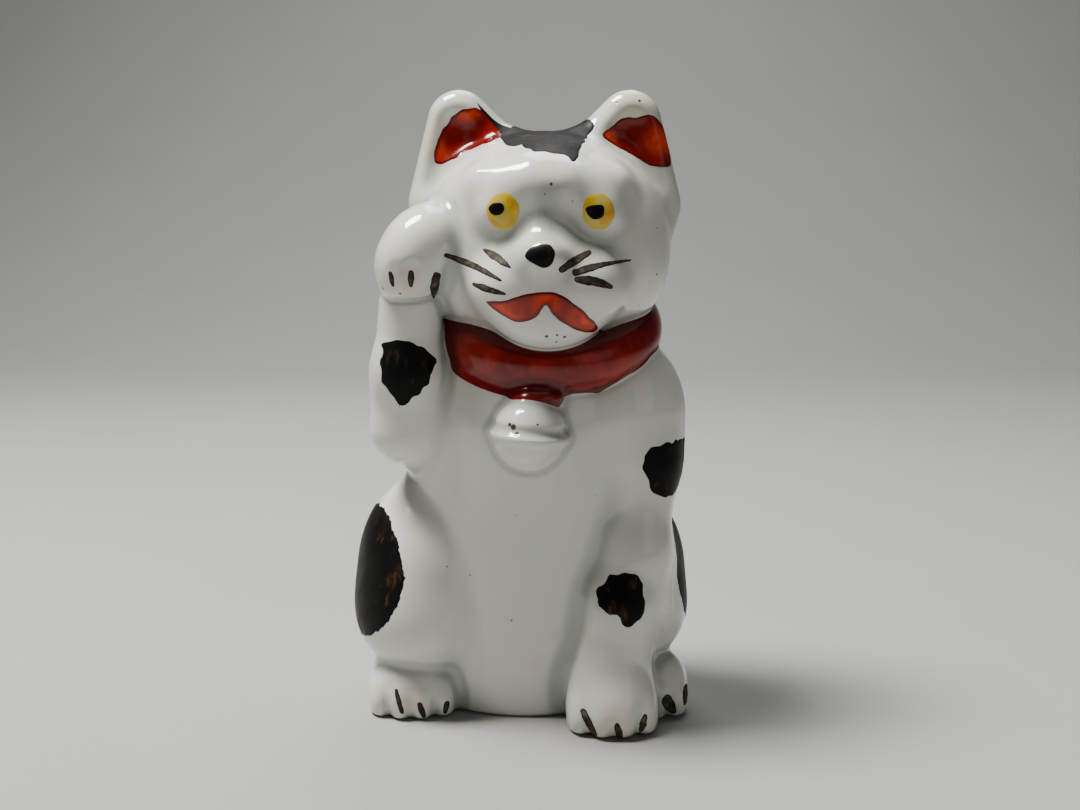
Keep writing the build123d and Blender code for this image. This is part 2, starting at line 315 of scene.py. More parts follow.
def bell(p):
    centre = bell_at(0, 2.6, 0.2)
    ball = np.linalg.norm(p - centre, axis=1) - 5.65
    q = p - centre
    tip = q[:, 2] + 0.10 * q[:, 0]
    ridge = np.hypot(np.hypot(q[:, 0], q[:, 1]) - 5.3, tip + 0.2) - 0.75
    slot = np.hypot(np.hypot(q[:, 0], q[:, 1]) - 6.1, tip - 1.2) - 0.7
    return smax(smin(ball, ridge, 0.9), -slot, 0.7)


def raised_foreleg(p):
    at = raised_at
    d = chain(p, [(at(-0.3, 2.4, -13.8), 6.2), (at(-0.1, 0.4, -5.0), 5.3), (at(0.5, -0.6, 5.4), 4.8)], 3)
    d = smin(d, ellipsoid(p, at(4.0, 6.6, -12.0), (8.0, 8.2, 10.4)), 4)
    paw = ellipsoid(p, at(1.2, -2.0, 12.0), (5.8, 7.1, 7.3), (0, 14, 0))
    paw = smin(paw, ellipsoid(p, at(4.6, -0.5, 15.5), (4.8, 6.0, 5.4)), 4)
    for i in range(2):
        x = -1.6 + 3.1 * i
        paw = smax(paw, -cone(p, at(x, -10.2, 10.6), at(x * 0.9, -10.0, 5.6), 1.4, 1.4), 1.4)
    paw = smax(paw, at(0, 0, 6.2)[2] + 0.10 * (p[:, 0] - at(0, 0, 0)[0]) - p[:, 2], 1.6)
    return smin(d, paw, 0.5)


def standing_foreleg(p):
    at = standing_at
    d = chain(p, [(at(2.2, 0.6, 9.0), 5.5), (at(1.2, -1.8, -3.0), 5.2), (at(-0.8, -3.4, -11.0), 5.5),
                  (at(-2.6, -4.4, -21.6), 6.3)], 3)
    d = smin(d, ellipsoid(p, at(-1.0, 3.4, 18.6), (10.4, 9.8, 12.8)), 6)
    paw = ellipsoid(p, at(-2.6, -5.6, -25.4), (7.0, 7.9, 5.9))
    for i in range(4):
        x = -2.6 + (i - 1.5) * 3.3
        y = -9.6 + 0.9 * abs(i - 1.5) ** 1.6
        paw = smin(paw, ellipsoid(p, at(x, y, -27.0), (2.3, 4.0, 4.0)), 1.1)
    d = smin(d, paw, 2.5)
    along = np.clip((p[:, 2] - FLOOR_Z - 6) / 34, 0, 1)
    off = p[:, 1] - at(0, -4.4, 0)[1] - 5.0 * along
    height, width = 0.15, 0.42
    mould_line = height * np.exp(-(off / width) ** 2) * (p[:, 0] > at(1, 0, 0)[0]) * np.clip(along * 8, 0, 1)
    return d - mould_line


def haunch(p, at, side):
    d = ellipsoid(p, at(side * -2.0, -0.2, -0.2), (11.4, 14.0, 16.0))
    return smin(d, ellipsoid(p, at(side * -1.4, -3.4, -6.4), (10.2, 10.6, 9.6)), 4)


def hind_paw(p, at):
    d = ellipsoid(p, at(0, 0.4, -0.5), (7.3, 7.4, 5.9))
    for i in range(4):
        x = (i - 1.5) * 3.3
        y = -3.4 + 0.8 * abs(i - 1.5) ** 1.6
        d = smin(d, ellipsoid(p, at(x, y, -2.4), (2.3, 4.0, 4.3)), 1.1)
    return d


def tail(p):
    at = tail_at
    return chain(p, [(at(-3.4, -2.2, -9.0), 4.2), (at(0.6, -0.6, -4.6), 3.9), (at(3.4, -0.6, 1.6), 3.6),
                     (at(2.8, -1.2, 7.8), 3.1)], 2)


# Each clay piece, and how widely its joint with what came before is rounded over by the glaze
CLAY = [
    ("torso", torso, 0.0), ("head", head, 2.4),
    ("right_ear", lambda p: ear(p, right_ear_at, -1), 3.4),
    ("left_ear", lambda p: ear(p, left_ear_at, 1), 3.4),
    ("right_haunch", lambda p: haunch(p, right_haunch_at, -1), 2.6),
    ("left_haunch", lambda p: haunch(p, left_haunch_at, 1) + 2.0, 2.6),
    ("standing_foreleg", standing_foreleg, 3.0), ("raised_foreleg", raised_foreleg, 1.5),
    ("right_hind_paw", lambda p: hind_paw(p, right_paw_at), 1.7),
    ("left_hind_paw", lambda p: hind_paw(p, left_paw_at), 1.7),
    ("tail", tail, 2.0), ("collar_band", collar, 0.9), ("collar_lug", lug, 1.7), ("bell", bell, 0.9),
]
HALVES = {
    "torso": ("torso_front_shell", "torso_back_shell"),
    "head": ("head_front_shell", "head_back_shell"),
}
REACH = {name: box_of(*HALVES.get(name, (name,))) for name, _, _ in CLAY}
NEAR = 6  # how far round its node a clay piece is worked out


def own_distance(name, field, p):
    """A clay piece's distance where it can matter, and a large value further off."""
    low, high = REACH[name]
    close = np.all((p > low - NEAR) & (p < high + NEAR), axis=1)
    d = np.full(len(p), FAR)
    d[close] = np.minimum(field(p[close]), FAR)
    return d


def skin(p):
    """Signed distance, in millimetres, to the glazed outside of the whole cat."""
    d = None
    for name, field, blend in CLAY:
        here = own_distance(name, field, p)
        d = here if d is None else smin(d, here, blend)
    unevenness, foot_round = 0.05, 0.8
    d = d - unevenness * ripple(p, 26, 3)
    return smax(d, FLOOR_Z - p[:, 2], foot_round)


def slope(field, p, step=0.03):
    """A field's gradient."""
    out = np.empty_like(p)
    for axis in range(3):
        shift = np.zeros(3)
        shift[axis] = step
        out[:, axis] = (field(p + shift) - field(p - shift)) / (2 * step)
    return out


def settle(field, p, rounds=3):
    """Move points onto the field's zero surface, and give the surface's outward normals there."""
    for _ in range(rounds):
        g = slope(field, p)
        d = field(p)
        p = p - g * np.clip(d / np.maximum(np.sum(g * g, axis=1), 0.05), -0.5, 0.5)[:, None]
    g = slope(field, p)
    return p, g / np.maximum(np.linalg.norm(g, axis=1), 1e-9)[:, None]


def trace(field, low, high, size):
    """A mesh of triangles on a field's zero surface: one point in each grid cell it crosses."""
    counts = np.ceil((high - low) / size).astype(int) + 1
    axes = [low[i] + size * np.arange(counts[i]) for i in range(3)]
    coarse = 4  # a first look skips this many points
    batch = 400000
    values = np.full(counts, FAR, np.float32)
    rough = [a[::coarse] for a in axes]
    grid = np.stack(np.meshgrid(*rough, indexing="ij"), axis=-1).reshape(-1, 3)
    first = field(grid).reshape([len(a) for a in rough])
    near = np.abs(first) < size * coarse * 1.9

    def spread(block):
        fine = block.repeat(coarse, 0).repeat(coarse, 1).repeat(coarse, 2)
        return fine[:counts[0], :counts[1], :counts[2]]

    mask = spread(near)
    wide = mask.copy()
    for axis in range(3):
        wide |= np.roll(mask, 2, axis) | np.roll(mask, -2, axis)
        mask = wide.copy()
    picked = np.argwhere(wide)
    spots = np.stack([axes[i][picked[:, i]] for i in range(3)], axis=1)
    for start in range(0, len(picked), batch):
        part = slice(start, start + batch)
        values[tuple(picked[part].T)] = field(spots[part])
    sign = values < 0
    # signs of far cells are filled in from their coarse block
    inner = spread(first < 0)
    sign = np.where(wide, sign, inner)
    values = np.where(wide, values, np.where(inner, -FAR, FAR)).astype(np.float32)

    corner = [sign[i:counts[0] - 1 + i, j:counts[1] - 1 + j, k:counts[2] - 1 + k]
              for i in (0, 1) for j in (0, 1) for k in (0, 1)]
    total = sum(c.astype(np.int8) for c in corner)
    active = (total > 0) & (total < 8)
    cells = np.argwhere(active)
    index = np.full(active.shape, -1, np.int64)
    index[tuple(cells.T)] = np.arange(len(cells))
    acc = np.zeros((len(cells), 3))
    hits = np.zeros(len(cells))
    for axis in range(3):
        others = [a for a in range(3) if a != axis]
        for u in (0, 1):
            for v in (0, 1):
                a = cells.copy()
                a[:, others[0]] += u
                a[:, others[1]] += v
                b = a.copy()
                b[:, axis] += 1
                va, vb = values[tuple(a.T)].astype(float), values[tuple(b.T)].astype(float)
                cross = (va < 0) != (vb < 0)
                t = np.where(cross, va / np.where(cross, va - vb, 1), 0)
                point = a.astype(float)
                point[:, axis] += t
                acc += np.where(cross[:, None], point, 0)
                hits += cross
    verts = low + size * acc / hits[:, None]
    quads = []
    for axis in range(3):
        others = [a for a in range(3) if a != axis]
        a = [slice(1, n - 1) for n in counts]
        b = list(a)
        a[axis], b[axis] = slice(0, counts[axis] - 1), slice(1, counts[axis])
        s0, s1 = sign[tuple(a)], sign[tuple(b)]
        spots = np.argwhere(s0 != s1)
        going = s0[tuple(spots.T)]
        for i in range(3):
            spots[:, i] += 0 if i == axis else 1
        ring = []
        for u, v in ((1, 1), (0, 1), (0, 0), (1, 0)):
            c = spots.copy()
            c[:, others[0]] -= u
            c[:, others[1]] -= v
            ring.append(index[tuple(c.T)])
        quad = np.stack(ring, axis=1)
        flip = going if axis != 1 else ~going
        quads.append(np.where(flip[:, None], quad, quad[:, ::-1]))
    quads = np.concatenate(quads)
    return verts, np.concatenate([quads[:, [0, 1, 2]], quads[:, [0, 2, 3]]])


def cut(verts, tris, values):
    """Split triangles along values = 0. Returns the points, the triangles inside (below 0) and outside."""
    values = np.where(np.abs(values) < 1e-5, 1e-5, values)
    neg = values[tris] < 0
    count = neg.sum(axis=1)
    inside, outside = [tris[count == 3]], [tris[count == 0]]
    mixed = tris[(count == 1) | (count == 2)]
    if not len(mixed):
        return verts, inside[0], outside[0]
    pairs = np.sort(np.concatenate([mixed[:, [0, 1]], mixed[:, [1, 2]], mixed[:, [2, 0]]]), axis=1)
    crossing = (values[pairs[:, 0]] < 0) != (values[pairs[:, 1]] < 0)
    unique, where = np.unique(pairs[crossing], axis=0, return_inverse=True)
    va, vb = values[unique[:, 0]], values[unique[:, 1]]
    t = (va / (va - vb))[:, None]
    made = verts[unique[:, 0]] * (1 - t) + verts[unique[:, 1]] * t
    ids = np.full(len(pairs), -1, np.int64)
    ids[crossing] = len(verts) + where.ravel()
    ids = ids.reshape(3, -1).T
    for lone_is_neg in (True, False):
        chosen = (values[mixed] < 0) == lone_is_neg
        rows = np.where(chosen.sum(axis=1) == 1)[0]
        k = np.argmax(chosen[rows], axis=1)
        a, b, c = (mixed[rows, (k + j) % 3] for j in range(3))
        ab, ca = ids[rows, k], ids[rows, (k + 2) % 3]
        lone = np.stack([a, ab, ca], axis=1)
        rest = np.concatenate([np.stack([ab, b, c], axis=1), np.stack([ab, c, ca], axis=1)])
        (inside if lone_is_neg else outside).append(lone)
        (outside if lone_is_neg else inside).append(rest)
    return np.concatenate([verts, made]), np.concatenate(inside), np.concatenate(outside)


def used(tris, *arrays):
    """The triangles renumbered to the points that they use, and those points' rows of each array."""
    keep, back = np.unique(tris, return_inverse=True)
    return (back.reshape(-1, 3), *(a[keep] for a in arrays))


def rims(tris):
    """Directed boundary edges, chained into closed loops."""
    edges = np.concatenate([tris[:, [0, 1]], tris[:, [1, 2]], tris[:, [2, 0]]])
    known = set(map(tuple, edges.tolist()))
    follows = {}
    for a, b in known:
        if (b, a) not in known:
            follows.setdefault(a, []).append(b)
    loops = []
    while follows:
        start = next(iter(follows))
        loop, here = [start], start
        while follows.get(here):
            step = follows[here].pop()
            if not follows[here]:
                del follows[here]
            if step == start:
                break
            loop.append(step)
            here = step
        follows = {a: b for a, b in follows.items() if b}
        if len(loop) > 2:
            loops.append(loop)
    return loops


def mesh_object(name, verts, tris, normals, material, slot, replaced, glaze=None):
    mesh = bpy.data.meshes.new(name)
    mesh.vertices.add(len(verts))
    mesh.vertices.foreach_set("co", (verts * MM).astype(np.float32).ravel())
    mesh.loops.add(len(tris) * 3)
    mesh.loops.foreach_set("vertex_index", tris.astype(np.int32).ravel())
    mesh.polygons.add(len(tris))
    mesh.polygons.foreach_set("loop_start", np.arange(0, len(tris) * 3, 3, dtype=np.int32))
    mesh.polygons.foreach_set("loop_total", np.full(len(tris), 3, np.int32))
    mesh.update(calc_edges=True)
    mesh.validate()
    mesh.polygons.foreach_set("use_smooth", np.ones(len(mesh.polygons), bool))
    if glaze is not None:
        mesh.attributes.new("glaze", "FLOAT", "POINT").data.foreach_set("value", glaze.astype(np.float32))
    mesh.normals_split_custom_set_from_vertices(normals.astype(np.float32))
    mesh.materials.append(material)
    obj = bpy.data.objects.new(name, mesh)
    show(obj)
    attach(obj, "root")
    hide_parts(replaced)
    return obj


def closed_piece(name, verts, tris, normals, finish, glaze, hearts):
    """A skin piece, each open rim closed by a cap that goes straight in, then to a line of inside points."""
    tris, verts, normals, glaze = used(tris, verts, normals, glaze)
    hearts = np.array(hearts)
    loops = rims(tris)
    edge = [v for loop in loops for v in loop]
    sunk = {v: len(verts) + k for k, v in enumerate(edge)}
    first = len(verts) + len(edge)
    caps = []
    for loop in loops:
        nearest = np.argmin(np.linalg.norm(verts[loop][:, None] - hearts, axis=2), axis=1).tolist()
        turns = zip(loop, loop[1:] + loop[:1], nearest, nearest[1:] + nearest[:1])
        for a, b, heart, goal in turns:
            caps += [(b, a, sunk[a]), (b, sunk[a], sunk[b]), (sunk[b], sunk[a], first + heart)]
            while heart != goal:
                step = heart + (1 if goal > heart else -1)
                caps.append((sunk[b], first + heart, first + step))
                heart = step
    if caps:
        verts = np.vstack([verts, verts[edge] - normals[edge] * SINK, hearts])
        normals = np.vstack([normals, normals[edge], np.tile((0, 0, -1), (len(hearts), 1))])
        tris = np.vstack([tris, caps])
        glaze = np.concatenate([glaze, np.zeros(len(edge) + len(hearts))])
        tris, verts, normals, glaze = used(tris, verts, normals, glaze)
    mesh_object(name, verts, tris, normals, *finish, name, glaze)


# ---- materials

class Maker:
    """A node material, built a node at a time, in object coordinates in millimetres."""

    def __init__(self, name):
        self.material = bpy.data.materials.new(name)
        self.material.use_nodes = True
        self.tree = self.material.node_tree
        self.shader = self.tree.nodes["Principled BSDF"]
        where = self.tree.nodes.new("ShaderNodeTexCoord")
        scaled = self.node("ShaderNodeVectorMath", operation="SCALE")
        scaled.inputs["Scale"].default_value = 1 / MM
        self.link(where.outputs["Object"], scaled.inputs[0])
        self.place = scaled.outputs[0]

    def node(self, kind, **settings):
        made = self.tree.nodes.new(kind)
        for key, value in settings.items():
            setattr(made, key, value)
        return made

    def link(self, a, b):
        self.tree.links.new(a, b)

    def feed(self, plug, item):
        """A link or a number into an input."""
        if isinstance(item, bpy.types.NodeSocket):
            self.link(item, plug)
        else:
            plug.default_value = item

    def stretched(self, scale, turn=(0, 0, 0)):
        m = self.node("ShaderNodeMapping")
        m.inputs["Scale"].default_value = scale
        m.inputs["Rotation"].default_value = [math.radians(t) for t in turn]
        self.link(self.place, m.inputs["Vector"])
        return m.outputs[0]

    def noise(self, scale, detail=3.0, roughness=0.5, distortion=0.0, place=None):
        n = self.node("ShaderNodeTexNoise")
        n.inputs["Scale"].default_value = scale
        n.inputs["Detail"].default_value = detail
        n.inputs["Roughness"].default_value = roughness
        n.inputs["Distortion"].default_value = distortion
        self.link(place or self.place, n.inputs["Vector"])
        return n.outputs["Fac"]

    def ramp(self, value, stops):
        r = self.node("ShaderNodeValToRGB")
        elements = r.color_ramp.elements
        while len(elements) < len(stops):
            elements.new(0.5)
        for element, (at, colour) in zip(elements, stops):
            element.position = at
            element.color = (*colour, 1) if len(colour) == 3 else colour
        self.link(value, r.inputs["Fac"])
        return r.outputs["Color"]

    def level(self, value, low, high, out_low=0.0, out_high=1.0):
        m = self.node("ShaderNodeMapRange", interpolation_type="SMOOTHSTEP")
        for key, number in (("From Min", low), ("From Max", high), ("To Min", out_low), ("To Max", out_high)):
            m.inputs[key].default_value = number
        self.link(value, m.inputs["Value"])
        return m.outputs["Result"]

    def mix(self, fac, a, b):
        m = self.node("ShaderNodeMix", data_type="RGBA")
        for plug, item in ((m.inputs["Factor"], fac), (m.inputs[6], a), (m.inputs[7], b)):
            self.feed(plug, (*item, 1) if isinstance(item, tuple) else item)
        return m.outputs[2]

    def maths(self, operation, a, b):
        m = self.node("ShaderNodeMath", operation=operation)
        for plug, item in zip(m.inputs, (a, b)):
            self.feed(plug, item)
        return m.outputs[0]

    def times(self, a, b):
        return self.maths("MULTIPLY", a, b)

    def glaze(self):
        """How thick the glaze lies on the skin, which also sets painted shade in its creases, or a coat's
        nearness to its edge.
        """
        return self.node("ShaderNodeAttribute", attribute_name="glaze").outputs["Fac"]

    def specks(self, scale, size, seed_turn=(0, 0, 0)):
        """1 in a few small spots."""
        v = self.node("ShaderNodeTexVoronoi")
        v.inputs["Scale"].default_value = scale
        self.link(self.stretched((1, 1, 1), seed_turn), v.inputs["Vector"])
        near = self.level(v.outputs["Distance"], size * 0.55, size, 1.0, 0.0)
        some = self.node("ShaderNodeSeparateColor")
        self.link(v.outputs["Color"], some.inputs[0])
        chosen = self.level(some.outputs[0], 0.80, 0.84)
        return self.times(near, chosen)

    def spot(self, centre, radius, soft=0.5):
        """1 within a radius, in millimetres, of a point, falling to 0 outside it."""
        apart = self.node("ShaderNodeVectorMath", operation="DISTANCE")
        self.link(self.place, apart.inputs[0])
        apart.inputs[1].default_value = tuple(float(c) for c in centre)
        return self.level(apart.outputs["Value"], radius * (1 - soft), radius, 1.0, 0.0)

    def finish(self, colour, roughness, height=None, strength=0.3, distance=0.05, coat=0.0, gloss=0.5):
        self.shader.inputs["Specular IOR Level"].default_value = gloss
        self.link(colour, self.shader.inputs["Base Color"])
        self.feed(self.shader.inputs["Roughness"], roughness)
        if coat:
            self.shader.inputs["Coat Weight"].default_value = coat
            self.shader.inputs["Coat Roughness"].default_value = 0.04
        if height is not None:
            b = self.node("ShaderNodeBump")
            b.inputs["Strength"].default_value = strength
            b.inputs["Distance"].default_value = distance * MM
            self.link(height, b.inputs["Height"])
            self.link(b.outputs["Normal"], self.shader.inputs["Normal"])
            if coat:
                self.link(b.outputs["Normal"], self.shader.inputs["Coat Normal"])
        return self.material


# Warm stains in the glaze, as (centre, radius, strength), and dark pinholes, as (centre, radius)
TOUCHES = [
    (head_at(0.4, -11.5, 9.6), 4.6, 0.55), (head_at(-0.2, -18.2, -0.4), 3.6, 0.45),
    (left_ear_at(0.6, -1, 8), 7.0, 0.6), (right_ear_at(-5, -1, 2), 6.5, 0.5),
    (raised_at(0, -9, 8.5), 6.0, 0.45), (standing_at(-3, -12, -27), 6.5, 0.4),
    (right_paw_at(0, -6, -2), 6.0, 0.35), (torso_at(4.5, -14, -21.5), 1.6, 0.5),
]
FRECKLES = [
    (head_at(0.9, -14.6, 7.0), 0.30), (head_at(1.1, -18.9, -0.1), 0.26),
    (head_at(0.3, -15.5, -14.1), 0.36), (head_at(1.6, -15.5, -13.9), 0.26),
    (head_at(2.6, -15.2, -14.2), 0.32), (head_at(1.6, -15.0, -15.1), 0.24),
    (left_ear_at(-2.6, -3.4, 8.2), 0.26), (left_ear_at(1.6, -3.2, 8.4), 0.30),
    (left_ear_at(-6.6, -3.0, 3.6), 0.26), (bell_at(-2.6, -2.6, 1.9), 0.62),
    (bell_at(-1.9, -3.0, 1.4), 0.45), (bell_at(-3.2, -2.2, 2.4), 0.40),
    (bell_at(1.4, -3.0, 2.6), 0.22), (raised_at(-4.2, -6.6, 7.4), 0.40),
    (raised_at(-0.5, -8.0, 6.8), 0.26), (head_at(16.6, -7.4, -6.0), 0.24),
    (torso_at(-2.3, -14, -18.8), 0.20),
]


def on_skin(spots):
    """The same spots, moved onto the glazed outside."""
    centres, _ = settle(skin, np.array([spot[0] for spot in spots], float))
    return [(centre, *spot[1:]) for centre, spot in zip(centres, spots)]


def porcelain():
    m = Maker("glazed_porcelain")
    gathered_glaze_and_shade = m.glaze()
    drift = m.ramp(m.noise(0.045, 2.0), [(0.3, (0.71, 0.715, 0.665)), (0.7, (0.79, 0.775, 0.72))])
    # Dark grey-green in valleys: partly the glaze lying thick there, partly painted shade in the creases
    pooled_glaze_and_crease_shade = m.mix(m.level(gathered_glaze_and_shade, 0.15, 1.15), drift, (0.43, 0.455, 0.405))
    bare = m.mix(m.level(gathered_glaze_and_shade, -0.2, -0.9), pooled_glaze_and_crease_shade, (0.82, 0.76, 0.645))
    stain = m.level(m.noise(0.16, 3.0, 0.6), 0.56, 0.74)
    warm = m.mix(m.times(stain, 0.45), bare, (0.77, 0.66, 0.49))
    for centre, radius, share in TOUCHES:
        warm = m.mix(m.times(m.spot(centre, radius, 1.0), share), warm, (0.70, 0.56, 0.38))
    small = m.times(m.specks(0.34, 0.07, (40, 25, 70)), 0.7)
    grime = m.maths("MAXIMUM", m.specks(0.17, 0.05), small)
    for centre, radius in on_skin(FRECKLES):
        grime = m.maths("MAXIMUM", grime, m.spot(centre, radius))
    colour = m.mix(grime, warm, (0.085, 0.055, 0.03))
    pits = m.times(grime, 0.6)
    height = m.maths("SUBTRACT", m.times(m.noise(0.30, 2.0), 0.6), pits)
    rough = m.level(m.noise(0.5, 2.0), 0.3, 0.7, 0.09, 0.16)
    return m.finish(colour, rough, height, 0.30, 0.16, coat=0.5)


def bisque():
    m = Maker("bare_bisque")
    base = m.ramp(m.noise(0.25, 5.0, 0.65), [(0.3, (0.50, 0.44, 0.36)), (0.7, (0.76, 0.72, 0.65))])
    dirt = m.level(m.noise(0.7, 4.0, 0.7), 0.52, 0.75)
    colour = m.mix(dirt, base, (0.22, 0.18, 0.14))
    return m.finish(colour, 0.85, m.noise(2.2, 5.0, 0.7), 0.6, 0.25)


def black_enamel():
    m = Maker("black_enamel")
    brush = m.noise(0.9, 4.0, 0.65, place=m.stretched((1.0, 1.0, 0.30), (0, 35, 0)))
    thin = m.level(brush, 0.52, 0.72)
    patchy = m.level(m.noise(0.22, 2.0), 0.46, 0.66)
    colour = m.mix(m.times(thin, patchy), (0.005, 0.005, 0.005), (0.085, 0.036, 0.014))
    worn = m.level(m.noise(1.1, 3.0, 0.6), 0.76, 0.82)
    colour = m.mix(m.times(worn, 0.35), colour, (0.33, 0.28, 0.24))
    return m.finish(colour, m.level(brush, 0.3, 0.7, 0.36, 0.52), brush, 0.35, 0.08, gloss=0.09)


# Where the iron red burned through to orange, as (centre, radius)
EMBERS = [
    (bell_at(-3.9, -3.0, 10.9), 3.8), (bell_at(3.0, -3.0, 8.4), 2.4),
    (right_ear_at(-3.6, -2.4, 0.4), 2.6), (right_ear_at(1.4, -2.4, 6.4), 2.8),
    (left_ear_at(5.6, -2.4, 2.0), 3.4), (left_ear_at(-3.6, -2.4, 2.4), 2.0),
    (head_at(-5.6, -16.0, -10.8), 4.4), (head_at(0.2, -17.0, -9.6), 3.6),
    (head_at(5.6, -16.0, -12.4), 4.4),
]


def red_enamel():
    m = Maker("iron_red_enamel")
    cloud = m.noise(0.15, 3.0, 0.55, 0.3)
    colour = m.ramp(cloud, [
        (0.30, (0.12, 0.003, 0.003)), (0.50, (0.23, 0.006, 0.004)), (0.70, (0.36, 0.016, 0.005))])
    for centre, radius in on_skin(EMBERS):
        uneven = m.level(m.noise(0.5, 2.0), 0.35, 0.55, 0.5, 1.0)
        glow = m.times(m.spot(centre, radius, 0.9), uneven)
        colour = m.mix(glow, colour, (0.72, 0.050, 0.005))
    # Paler pinkish streaks: a painted sheen, the look of reflected light on the gloss
    painted_sheen = m.level(m.noise(0.5, 4.0, 0.65, place=m.stretched((1, 1, 0.5), (0, 30, 0))), 0.54, 0.76)
    colour = m.mix(m.times(painted_sheen, 0.22), colour, (0.36, 0.10, 0.09))
    # Dark red near a coat's edge, where the enamel lies thick; on the raised collar and lug, painted shade in
    # their creases
    colour = m.mix(m.level(m.glaze(), 0.10, 0.9), colour, (0.11, 0.003, 0.003))
    return m.finish(colour, m.level(cloud, 0.3, 0.7, 0.13, 0.22), m.noise(0.7, 3.0), 0.25, 0.12, gloss=0.42)


def yellow_enamel():
    m = Maker("yellow_enamel")
    cloud = m.noise(0.42, 3.0, 0.55)
    colour = m.ramp(cloud, [
        (0.34, (0.61, 0.54, 0.12)), (0.48, (0.78, 0.55, 0.016)), (0.62, (0.76, 0.38, 0.008))])
    colour = m.mix(m.level(m.glaze(), 0.4, 1.0), colour, (0.66, 0.47, 0.035))
    return m.finish(colour, 0.14, m.noise(2.2, 3.0), 0.3, 0.06, coat=0.4)


def brown_enamel():
    m = Maker("thin_brown_enamel")
    brush = m.noise(0.9, 2.0, 0.5)
    colour = m.ramp(brush, [
        (0.34, (0.026, 0.021, 0.017)), (0.55, (0.070, 0.055, 0.040)), (0.74, (0.16, 0.135, 0.10))])
    colour = m.mix(m.level(m.glaze(), 0.35, 1.0), colour, (0.020, 0.016, 0.013))
    return m.finish(colour, 0.62, brush, 0.2, 0.04, gloss=0.1)


# each finish, as its material and its slot
PORCELAIN = (porcelain(), "porcelain")
BISQUE = (bisque(), "bisque")
BLACK = (black_enamel(), "black_enamel")
RED = (red_enamel(), "red_enamel")
YELLOW = (yellow_enamel(), "yellow_enamel")
BROWN = (brown_enamel(), "brown_enamel")


# ---- skin pieces

low_all, high_all = (np.array(v, float) / MM for v in CAD_BOX)
ROOM = 1.5  # left round the CAD box by the traced grid
verts, tris = trace(skin, low_all - ROOM, high_all + ROOM, VOXEL)
verts, _ = settle(skin, verts)
verts[:, 2] = np.maximum(verts[:, 2], FLOOR_Z)


def claims(p):
    """Each clay piece's own distance at points, one column a piece. The collar claims its whole band."""
    own = np.stack([own_distance(name, field, p) for name, field, _ in CLAY], axis=1)
    out, up, bearing = ring_axes(p)
    column = [name for name, _, _ in CLAY].index("collar_band")
    over = [n for n, (name, _, _) in enumerate(CLAY) if name in ("torso", "standing_foreleg")]
    beside = np.min(own[:, over], axis=1)
    turn = np.degrees(bearing)
    lower = np.interp(turn, [-110, -60, -20, 10, 45, 75, 110], [-3.0, 1.8, 3.2, 3.4, 1.7, -0.4, -3.0])
    upper = np.interp(np.abs(turn), [75, 110], [3.4, -3.0])
    reach = np.where(up > 0, upper, lower)
    forearm = own[:, [name for name, _, _ in CLAY].index("raised_foreleg")]
    band = smax(beside + np.abs(up) - reach, beside - forearm + 0.5, 1.2)
    held = np.minimum(own[:, column], band)
    own[:, column] = np.where(np.abs(out) < BAND, held, own[:, column])
    return own


names = [name for name, _, _ in CLAY]
pieces = {}
rest = tris
owner = claims(verts)
for i, name in reversed(list(enumerate(names))):
    if i == 0:
        pieces["torso"] = rest
        break
    others = np.min(owner[:, :i], axis=1)
    before = len(verts)
    verts, taken, rest = cut(verts, rest, owner[:, i] - others)
    if len(verts) > before:
        owner = np.vstack([owner, claims(verts[before:])])
    pieces[name] = taken

# the torso and the head come from two mould halves each
for name, (front, back) in HALVES.items():
    verts, pieces[front], pieces[back] = cut(verts, pieces.pop(name), verts[:, 1] - SEAM_Y)

verts, normals = settle(skin, verts, 1)
verts[:, 2] = np.maximum(verts[:, 2], FLOOR_Z)


def pooling_and_crease_shade(p, n):
    """Where the glaze gathers, which also sets painted shade in the creases: 1 in a tight valley, -1 on a
    tight ridge, 0 on the flat.
    """
    near, wide = 1.1, 3
    return np.clip(2.2 * (1 - skin(p + n * near) / near) + (1 - skin(p + n * wide) / wide), -1, 1)


glaze = pooling_and_crease_shade(verts, normals)
base = box_of("base_slab")


def under_slab(p):
    """Negative on the foot face inside the clay wall."""
    mid = (base[0] + base[1]) / 2
    half = (base[1] - base[0]) / 2
    d = np.hypot((p[:, 0] - mid[0]) / half[0], (p[:, 1] - mid[1]) / half[1]) - 1
    return np.maximum(d * half[1], (p[:, 2] - FLOOR_Z - 0.2) * 3)


for name in ("torso_front_shell", "torso_back_shell"):
    before = len(verts)
    verts, _, pieces[name] = cut(verts, pieces[name], under_slab(verts))
    if len(verts) > before:
        added, n = settle(skin, verts[before:], 1)
        added[:, 2] = np.maximum(added[:, 2], FLOOR_Z)
        verts[before:] = added
        normals = np.vstack([normals, n])
        glaze = np.concatenate([glaze, pooling_and_crease_shade(added, n)])

trunk = [torso_at(0, 1, z) for z in (-28, -14, 0, 12, 22, 30)]
HEARTS = {
    "torso_front_shell": trunk, "torso_back_shell": trunk,
    "head_front_shell": [head_at(0, 0, 0)], "head_back_shell": [head_at(0, 4, 0)],
    "collar_band": [collar_at(0.9, 0, 0)],
    "bell": [bell_at(0, 3, 0)],
    "collar_lug": [lug_at(0, 2, 0)],
    "raised_foreleg": [
        raised_at(3.2, 4.6, -12), raised_at(2.5, 2.5, -5), raised_at(0.6, 0, 2), raised_at(1, -1, 12.4)],
    "standing_foreleg": [standing_at(0, 2, 16), standing_at(1.2, -1, -2), standing_at(-2, -4, -20)],
    "tail": [tail_at(0, -1, -5), tail_at(3, -1, 2)],
}
RAISED_RED = {"collar_band", "collar_lug"}
for name, part in pieces.items():
    hearts = HEARTS.get(name, [place(name)(0, 0, 0)])
    closed_piece(name, verts, part, normals, RED if name in RAISED_RED else PORCELAIN, glaze, hearts)

# foot slab: the unglazed underside with its vent
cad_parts["base_slab"].data.materials.clear()
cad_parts["base_slab"].data.materials.append(BISQUE[0])


# ---- enamel coats

